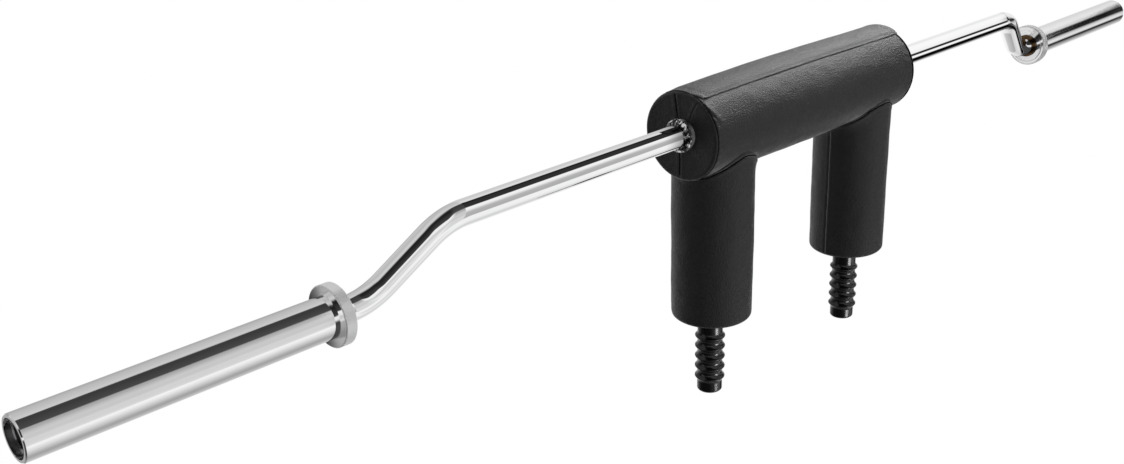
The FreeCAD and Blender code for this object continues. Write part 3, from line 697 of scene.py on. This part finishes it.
for side, node in ((-1, "left_end_panel"), (1, "right_end_panel")):
    panel = panel_skin(side)
    lit.objects.link(panel)
    panel.visible_glossy = False
    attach(panel, "frame")
    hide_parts(node)


# Seam shade: a matt black cord with almost no gloss, laid in each seam of the roll, round and across
# its ends and round the arms' tops.
# It lies in the groove between two pieces of vinyl and is painted shade: it stands in for the groove's
# shadow, so that the seam shows as a dark line.
END_SEAM_SHADE_X = 0.2334
END_SEAM_SHADE_R = 0.0011
CENTRE_SEAM_SHADE_R = 0.0009
CENTRE_SEAM_SHADE_Z = (0.0238, 0.0560)
CORD_COUNT = 8

# Near black with almost no specular: painted shade for the seam grooves.
seam_shade = Finish("seam_shade_cord", Roughness=0.9, IOR=1.5, Specular_IOR_Level=0.05)
seam_shade.feed("Base Color",
            seam_shade.speckle(900, 2).blend((0.0015, 0.0015, 0.0015, 1), (0.004, 0.004, 0.004, 1)))
seam_shade.bumps(seam_shade.speckle(2200, 2), 0.0002)


def cord_along(name, path, radius, closed, finish=seam_shade):
    """A cord along a path of points on the cover."""
    rings = []
    for k, point in enumerate(path):
        before = path[k - 1] if closed or k else path[0]
        after = path[(k + 1) % len(path)] if closed or k < len(path) - 1 else path[-1]
        ahead = (Vector(after) - Vector(before)).normalized()
        across = ahead.orthogonal().normalized()
        spins = [Matrix.Rotation(2 * pi * i / CORD_COUNT, 3, ahead) for i in range(CORD_COUNT)]
        rings.append([tuple(Vector(point) + spin @ across * radius) for spin in spins])
    cord = skin(name, rings + rings[:1] if closed else rings, close_ends=not closed)
    finished(cord, name, finish.material, 60)
    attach(cord, "frame")
    lit.objects.link(cord)
    cord.visible_glossy = False


for side, name in ((-1, "left"), (1, "right")):
    edge = roll_ring(side * END_SEAM_SHADE_X, -0.0005, 240)
    cord_along(name + "_end_piping", edge, END_SEAM_SHADE_R, True)
    inner, outer = CENTRE_SEAM_SHADE_Z
    for part, first, last in (("upper", inner, outer), ("lower", -outer, -inner)):
        path = []
        for k in range(25):
            z = first + (last - first) * k / 24
            y = CENTRE_SEAM_Y + CENTRE_SEAM_SLOPE * z
            hollow = PANEL_HOLLOW * (1 - (hypot(y, z) / 0.0570) ** 2)
            path.append((side * (ROLL_HALF - hollow - panel_sunk(side, y, z) + 0.0002), y, z))
        cord_along(name + "_" + part + "_centre_piping", path, CENTRE_SEAM_SHADE_R, False)


# Closure flap and its tapes: a double strip of vinyl, sewn to the back of the roll, that folds
# forward over the slit and holds by hook and loop tape. Its left end has started to lift.
FLAP_LEFT_CORNER = -0.2262
FLAP_LEFT_SLOPE = 0.0250
FLAP_RIGHT = 0.2375
FLAP_FRONT = radians(62.5)
FLAP_BACK = radians(120)
FLAP_T = 0.0010
FLAP_CUT_END = radians(83)
STITCH_ANGLE = radians(66.0)
STITCH_INSET = 0.0035
GLINT_EDGE_END = radians(79)
GLINT_EDGE_R = 0.0007
TAPE_LEFT = -0.214
TAPE_RIGHT = 0.224
TAPE_FRONT = radians(70)
TAPE_BACK = radians(91)
TAPE_T = 0.0006


def strip(name, left, right, first, last, lift_under, thickness, along_count, across_count):
    """A strip on the roll between two angles; lift_under says how far above it its underside is."""
    rings = []
    for k in range(along_count + 1):
        under, over = [], []
        for i in range(-1, across_count + 2):
            angle = first + (last - first) * min(across_count, max(0, i)) / across_count
            x = left(angle) + (right - left(angle)) * k / along_count
            lift = lift_under(x, angle)
            if 0 <= i <= across_count:
                under.append(on_roll(x, angle, lift))
                over.append(on_roll(x, angle, lift + thickness))
            else:
                over.append(on_roll(x, angle + (0.008 if i > 0 else -0.008), lift + thickness / 2))
        rings.append(over + under[::-1])
    return skin(name, rings)


def flap_left(angle):
    """Its left end is cut askew: the back corner reaches the end of the roll."""
    return FLAP_LEFT_CORNER - FLAP_LEFT_SLOPE * (min(angle, FLAP_CUT_END) - FLAP_FRONT)


def flap_lift(x, angle):
    """It stands off the cover over the tapes and at both ends, most at its left front corner."""
    seated = 0.0013 * ease(angle, radians(63), radians(71)) * ease(angle, radians(120), radians(113))
    seated *= 1 - 0.9 * ease(flap_left(angle) - x, -0.022, -0.004)
    left_end = ease(flap_left(angle) - x, -0.012, 0.0) * ease(angle, radians(76), radians(68))
    right_end = ease(x, 0.215, 0.238)
    wave = 0.0003 * noise.noise(Vector((x * 22, angle * 2.5, 8.0)))
    wave *= ease(angle, radians(64), radians(68))
    return 0.0001 + seated + 0.0010 * left_end + 0.0007 * right_end + wave


flap = strip("flap", flap_left, FLAP_RIGHT, FLAP_FRONT, FLAP_BACK, flap_lift, FLAP_T, 180, 34)
for corner in flap.data.vertices:
    x, y, z = corner.co.x, corner.co.y - ROLL_Y, corner.co.z - ROLL_Z
    r = hypot(y, z)
    angle = atan2(z, -y)
    if r > roll_radius(x, angle) + flap_lift(x, angle) + FLAP_T * 0.6:
        dip = 0.0003 * ridge((angle - STITCH_ANGLE) * 0.065, 0.0007)
        dip += 0.0003 * ridge(min(x - flap_left(angle), FLAP_RIGHT - x) - STITCH_INSET, 0.0007)
        corner.co.y -= y / r * dip
        corner.co.z -= z / r * dip
select_none()
flap.select_set(True)
bpy.context.view_layer.objects.active = flap
hem = flap.modifiers.new("hem", "SUBSURF")
hem.levels = hem.render_levels = 1
bpy.ops.object.modifier_apply(modifier=hem.name)
finished(flap, "flap_skin", vinyl.material, 60)
lit.objects.link(flap)
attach(flap, "frame")
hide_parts("closure_flap")

# Painted highlight: a light grey cord along the flap's left edge stands in for the glint on the flap's
# folded edge.
painted_glint = Finish("painted_glint_edge", Roughness=0.8)
painted_glint.feed("Base Color", painted_glint.speckle(400, 2).blend((0.10, 0.10, 0.10, 1), (0.45, 0.45, 0.45, 1)))
painted_glint.bumps(painted_glint.speckle(2500, 2), 0.0002)
path = []
for k in range(60):
    angle = FLAP_FRONT + (GLINT_EDGE_END - FLAP_FRONT) * k / 59
    x = flap_left(angle)
    path.append(on_roll(x - 0.0002, angle, flap_lift(x, angle) + FLAP_T * 0.7))
cord_along("flap_glint_edge", path, GLINT_EDGE_R, False, painted_glint)

pile = Finish("hook_and_loop_pile", Roughness=0.9)
pile.feed("Base Color", pile.speckle(1500, 2).blend((0.008, 0.008, 0.008, 1), (0.035, 0.035, 0.035, 1)))
pile.bumps(pile.speckle(2600, 3), 0.0005)
for node, lift in (("hook_tape", 0.0001), ("loop_tape", 0.0007)):
    tape = strip(node, lambda angle: TAPE_LEFT, TAPE_RIGHT, TAPE_FRONT, TAPE_BACK,
                 lambda x, angle: lift, TAPE_T, 60, 12)
    finished(tape, node + "_pile", pile.material, 60)
    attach(tape, "frame")
    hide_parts(node)


# Arm pads: a foam tube round each handle in a sewn vinyl cover, with a lengthwise closing seam on
# the side facing the neck. The top is cut to the roll's curve; a round panel closes the bottom.
ARM_BOTTOM = -0.2855
ARM_EDGE = 0.0065
ARM_SWELL = 0.0010
ARM_COUNT = 200
ARM_ROWS = 64
ARM_SHIFT = {-1: (0.0008, -0.0008), 1: (0.0005, -0.0005)}
ARM_TUCK = ((0.0060, 0.0300), (0.0060, 0.0560), (0.0030, 0.0577), (0.0012, 0.0581), (0.0, ARM_R))
SEAM_DROP = ((20, 0.0), (29, 0.0016), (44, 0.0023), (59, 0.0045), (75, 0.0059), (97, 0.0054),
             (118, 0.0008), (122, 0.0))
DISC_LOOPS = (
    (0.0472, 0.0030), (0.0476, 0.0014), (0.0468, 0.0004), (0.0450, 0.0), (0.0420, 0.0002),
    (0.0380, 0.0005), (0.0330, 0.0009), (0.0280, 0.0012), (0.0240, 0.0014), (0.0212, 0.0015),
    (0.0200, 0.0017), (0.0194, 0.0024), (0.0193, 0.0040), (0.0210, 0.0048), (0.0465, 0.0048),
)
SADDLE_SEAM_SHADE_R = 0.0010


def arm_radius(z):
    """It swells a little at half its length and narrows towards the bottom."""
    t = (z + 0.065) / (ARM_BOTTOM + 0.065)
    return ARM_R + 0.0002 * sin(pi * min(1.0, max(0.0, t))) - 0.0003 * max(0.0, t) ** 2


def seam_drop(angle):
    """How far below the roll the arm's top seam is, by the angle from the side away from the neck."""
    degrees = abs(angle) * 180 / pi
    for (start, low), (end, high) in zip(SEAM_DROP, SEAM_DROP[1:]):
        if start <= degrees <= end:
            return low + (high - low) * (degrees - start) / (end - start)
    return 0.0


def saddle_z(x, y):
    """The height at which a point meets the underside of the roll."""
    r = roll_radius(x, -pi / 2)
    return ROLL_Z - sqrt(max(0.0, r * r - (y - ROLL_Y) ** 2))


def arm_ring(side, r, height):
    ring = []
    for i in range(ARM_COUNT):
        angle = 2 * pi * i / ARM_COUNT
        x, y = side * ARM_X + r * cos(angle), r * sin(angle)
        ring.append((x, y, height(x, y)))
    return ring


def arm_skin(side):
    """Its rings run from inside the roll down the wall, round the bottom edge and back inside."""
    rings = []
    for rise, r in ARM_TUCK:
        rings.append(arm_ring(side, r, lambda x, y: saddle_z(x, y) + rise))
    wall_end = ARM_BOTTOM + ARM_EDGE
    for row in range(1, ARM_ROWS + 1):
        t = (row / ARM_ROWS) ** 1.5
        ring = []
        for i in range(ARM_COUNT):
            angle = 2 * pi * i / ARM_COUNT
            x, y = side * ARM_X + ARM_R * cos(angle), ARM_R * sin(angle)
            z = saddle_z(x, y) * (1 - t) + wall_end * t
            r = arm_radius(z)
            ring.append((side * ARM_X + r * cos(angle), r * sin(angle), z))
        rings.append(ring)
    wall_r = arm_radius(wall_end)
    for step in range(1, 7):
        t = pi / 2 * step / 6
        r, z = wall_r - ARM_EDGE * (1 - cos(t)), wall_end - ARM_EDGE * sin(t)
        rings.append(arm_ring(side, r, lambda x, y: z))
    for r, rise in ((wall_r - 0.0090, 0.0004), (wall_r - 0.0096, 0.0022), (0.0200, 0.0040)):
        rings.append(arm_ring(side, r, lambda x, y: ARM_BOTTOM + rise))
    return skin("arm", rings, close_ends=False)


def arm_held(side):
    """An arm's cover is sewn down at its top and bottom and along its closing seam."""
    def held(place):
        top = ease(place.z - saddle_z(place.x, place.y), -0.010, -0.004)
        bottom = ease(place.z, ARM_BOTTOM + 0.016, ARM_BOTTOM + 0.009)
        seam = ridge(place.y, 0.004) if (place.x - side * ARM_X) * side < 0 else 0.0
        return max(top, bottom, seam)
    return held


for side, name in ((-1, "left"), (1, "right")):
    arm = arm_skin(side)
    swell(arm, ARM_SWELL, arm_held(side))
    for corner in arm.data.vertices:
        x, y, z = corner.co.x - side * ARM_X, corner.co.y, corner.co.z
        r = hypot(x, y)
        lift = 0.0
        if r > 0.050:
            angle = atan2(y, -side * x)
            below = saddle_z(corner.co.x, y) - z
            facing_neck = neck_side(corner.co.x, y)
            lift = 0.0007 * noise.noise(Vector((cos(angle) * 1.3 + side * 7, sin(angle) * 1.3, z * 14)))
            lift += 0.00035 * noise.noise(Vector((cos(angle) * 4, sin(angle) * 4 + side * 3, z * 45)))

            # The closing seam lies in a groove, and the top flares out to its seam with the roll.
            lift -= 0.0012 * ridge(angle * 0.058, 0.0009) * ease(below, 0.001, 0.006)
            lift += 0.0004 * ridge(abs(angle) * 0.058 - 0.0035, 0.0028)
            lift += NECK_FLARE * facing_neck * ease(below, 0.022, -0.004)
            off_seam = below - seam_drop(pi - abs(angle))
            lift -= 0.0020 * ridge(off_seam, 0.0011) - 0.0007 * ridge(off_seam - 0.0035, 0.003)
            lift += 0.0007 * ridge(off_seam + 0.003, 0.003) * ease(facing_neck, 0.3, 0.0)
            lift *= ease(z, ARM_BOTTOM, ARM_BOTTOM + 0.006)
        corner.co.x = side * ARM_X + x * (r + lift) / r + ARM_SHIFT[side][0]
        corner.co.y = y * (r + lift) / r + ARM_SHIFT[side][1]
    finished(arm, name + "_arm_pad", vinyl.material, 60)
    lit.objects.link(arm)
    arm.visible_glossy = False
    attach(arm, "frame")
    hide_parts(name + "_arm_cover", name + "_arm_foam")

    rings = [arm_ring(side, r, lambda x, y: ARM_BOTTOM + rise) for r, rise in DISC_LOOPS]
    rings.append(rings[0])
    disc = skin("disc", rings, close_ends=False)
    finished(disc, name + "_arm_bottom_panel", vinyl.material, 60)
    lit.objects.link(disc)
    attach(disc, "frame")
    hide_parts(name + "_arm_panel")


# A near-black cord round each arm's top seam: painted shade standing in for the shadow in the seam
# groove.
for side, name in ((-1, "left"), (1, "right")):
    seam = []
    for k in range(240):
        angle = 2 * pi * k / 240
        drop = seam_drop(pi - abs(atan2(sin(angle), -side * cos(angle))))
        facing_neck = neck_side(side * ARM_X + cos(angle), sin(angle))
        r = ARM_R + NECK_FLARE * facing_neck * ease(drop, 0.022, -0.004)
        x, y = side * ARM_X + r * cos(angle), r * sin(angle)
        seam.append((x + ARM_SHIFT[side][0], y + ARM_SHIFT[side][1], saddle_z(x, y) - drop - 0.0002))
    cord_along(name + "_saddle_piping", seam, SADDLE_SEAM_SHADE_R, True)


# Grips: moulded black rubber, ribbed and closed at the bottom, pushed on the handle tubes.
# The metal in the middle of the bar is plain steel, hidden by the pads.
rubber = Finish("grip_rubber", IOR=1.5)
rubber.feed("Base Color",
            rubber.speckle(60, 3).blend((0.002, 0.002, 0.002, 1), (0.005, 0.005, 0.005, 1)))
rubber.feed("Roughness", rubber.speckle(300, 3).ease(0.3, 0.7, 0.06, 0.11))
rubber.bumps(rubber.speckle(1400, 3), 0.00012)
steel = Finish("bare_steel", Metallic=1.0)
steel.feed("Base Color", steel.speckle(40, 4).blend((0.10, 0.10, 0.10, 1), (0.18, 0.18, 0.18, 1)))
steel.feed("Roughness", steel.speckle(120, 4).ease(0.3, 0.7, 0.35, 0.55))
steel.bumps(steel.speckle(800, 3), 0.00005)


def give(finish, *names):
    """Gives carried-over CAD pieces their finish."""
    for name in names:
        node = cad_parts[name]
        for slot in node.material_slots:
            slot.material = finish.material


give(rubber, "left_grip", "right_grip")
for name in ("left_grip", "right_grip"):
    lit.objects.link(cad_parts[name])
    grips_lit.objects.link(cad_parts[name])
give(steel, "yoke_tube", "left_handle_tube", "right_handle_tube", "left_handle_weld",
     "right_handle_weld", "left_thrust_washer", "right_thrust_washer")


# Sleeves and collars: turned from steel and chromed over the marks, so they are duller than the
# shaft, streaked lengthwise, with rings on the collar's faces. The collar is pressed on and welded.
SLEEVE_Y = 0.02586
SLEEVE_Z = -0.07729
COLLAR_RIM = (0.0348, 0.0356)
turned = Finish("turned_chrome", Metallic=1.0)
turned.feed("Base Color", turned.speckle(25, 3).blend((0.88, 0.88, 0.885, 1), (0.94, 0.94, 0.945, 1)))
streaks = turned.speckle(1.0, 3, turned.stretched((5, 900, 900)))
turned.feed("Roughness", streaks.ease(0.3, 0.7, 0.03, 0.08))
turned.bumps(streaks, 0.000025)
give(turned, "left_sleeve", "right_sleeve")

faced = Finish("faced_chrome")
faced.feed("Base Color", faced.speckle(25, 3).blend((0.93, 0.93, 0.935, 1), (0.99, 0.99, 0.99, 1)))
spot = faced.start.add("ShaderNodeSeparateXYZ", {}, {0: faced.place})
off_y, off_z = spot.out("Y") - SLEEVE_Y, spot.out("Z") - SLEEVE_Z
from_axis = faced.maths("SQRT", off_y * off_y + off_z * off_z)
tool_marks = faced.speckle(1.0, 1, faced.start.add("ShaderNodeCombineXYZ", {}, {"X": from_axis * 800}))
hollow = from_axis * spot.out("X").ease(-0.5, 0.5, 0.20, 0.0)
rim = from_axis.ease(*COLLAR_RIM)
grain = faced.speckle(1.0, 3, faced.stretched((1500, 300, 300))) * rim
faced.bumps(tool_marks * 0.00018 + hollow + grain * 0.00012, 1.0)
faced.feed("Metallic", rim.ease(0.0, 1.0, 1.0, 0.32))
faced.feed("Roughness", rim.ease(0.0, 1.0, 0.05, 0.30) + faced.speckle(300, 3) * 0.02)
give(faced, "left_collar", "right_collar")
lit.objects.link(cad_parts["left_collar"])


# Sleeve ends and bearings: bronze bushings, spring steel rings and a moulded black end cap.
bronze = Finish("sintered_bronze", Metallic=1.0)
bronze.feed("Base Color", bronze.speckle(90, 4).blend((0.07, 0.042, 0.020, 1), (0.15, 0.09, 0.045, 1)))
bronze.feed("Roughness", bronze.speckle(260, 4).ease(0.3, 0.7, 0.12, 0.22))
bronze.bumps(bronze.speckle(1500, 3), 0.00006)
spring = Finish("spring_steel", Metallic=1.0)
spring.feed("Base Color", spring.speckle(80, 3).blend((0.10, 0.10, 0.11, 1), (0.18, 0.18, 0.19, 1)))
spring.feed("Roughness", spring.speckle(300, 3).ease(0.3, 0.7, 0.22, 0.38))
spring.bumps(spring.speckle(1500, 3), 0.00004)
plastic = Finish("cap_plastic", Roughness=0.5)
plastic.feed("Base Color",
             plastic.speckle(70, 3).blend((0.010, 0.010, 0.010, 1), (0.018, 0.018, 0.018, 1)))
plastic.bumps(plastic.speckle(1800, 2), 0.00006)
give(bronze, "left_inner_bushing", "right_inner_bushing", "left_outer_bushing", "right_outer_bushing")
give(spring, "left_spindle_ring", "right_spindle_ring", "left_cap_ring", "right_cap_ring")
give(plastic, "left_end_cap", "right_end_cap")
